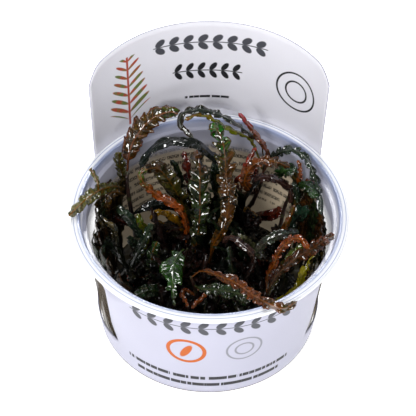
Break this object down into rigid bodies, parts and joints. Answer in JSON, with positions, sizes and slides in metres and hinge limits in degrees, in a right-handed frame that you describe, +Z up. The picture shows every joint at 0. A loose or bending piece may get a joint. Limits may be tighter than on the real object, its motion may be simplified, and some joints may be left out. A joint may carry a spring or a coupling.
{
  "type": "tissue culture hygrophila pinnatifida",
  "caption": "Hygrophila pinnatifida plantlets with lobed bronze and green leaves growing from gel in an open tapered clear cup with a card sleeve and raised back panel.",
  "frame": {"origin": "middle of the cup's base, on the surface that it rests on", "axes": "+Z up along the cup's axis, -Y towards the printed front, +X to the viewer's right"},
  "size_m": [0.1008, 0.1025, 0.099],
  "materials": {
    "cup_plastic": "clear gloss",
    "card": "coated card, printed",
    "gel": "wet, cloudy",
    "stem": "satin",
    "leaf_black": "moist satin",
    "leaf_bronze": "moist satin",
    "leaf_dark": "moist satin",
    "leaf_green": "moist satin",
    "leaf_maroon": "moist satin",
    "leaf_olive": "moist satin",
    "leaf_orange": "moist satin",
    "leaf_red": "moist satin",
    "leaf_yellow": "moist satin"
  },
  "bodies": {
    "root": {"cup": "cup_plastic", "sleeve": "card", "gel": "gel", "stem_1": "stem", "stem_2": "stem", "stem_3": "stem", "stem_4": "stem", "stem_5": "stem", "stem_6": "stem", "stem_7": "stem", "stem_8": "stem", "stem_9": "stem", "stem_10": "stem", "stem_11": "stem", "leaf_01": "leaf_bronze", "leaf_02": "leaf_black", "leaf_03": "leaf_yellow", "leaf_04": "leaf_red", "leaf_05": "leaf_black", "leaf_06": "leaf_olive", "leaf_07": "leaf_green", "leaf_08": "leaf_dark", "leaf_09": "leaf_olive", "leaf_10": "leaf_dark", "leaf_11": "leaf_red", "leaf_12": "leaf_orange", "leaf_13": "leaf_yellow", "leaf_14": "leaf_olive", "leaf_15": "leaf_bronze", "leaf_16": "leaf_yellow", "leaf_17": "leaf_dark", "leaf_18": "leaf_dark", "leaf_19": "leaf_green", "leaf_20": "leaf_green", "leaf_21": "leaf_green", "leaf_22": "leaf_green", "leaf_23": "leaf_orange", "leaf_24": "leaf_green", "leaf_25": "leaf_maroon", "leaf_26": "leaf_dark", "leaf_27": "leaf_orange", "leaf_28": "leaf_yellow", "leaf_29": "leaf_yellow", "leaf_30": "leaf_maroon", "leaf_31": "leaf_maroon", "leaf_32": "leaf_yellow", "leaf_33": "leaf_bronze", "leaf_34": "leaf_maroon", "leaf_35": "leaf_bronze", "leaf_36": "leaf_dark", "leaf_37": "leaf_orange", "leaf_38": "leaf_green", "leaf_39": "leaf_green", "leaf_40": "leaf_dark", "leaf_41": "leaf_bronze", "leaf_42": "leaf_maroon", "leaf_43": "leaf_black", "leaf_44": "leaf_dark", "leaf_45": "leaf_dark", "leaf_46": "leaf_black"}
  },
  "joints": []
}
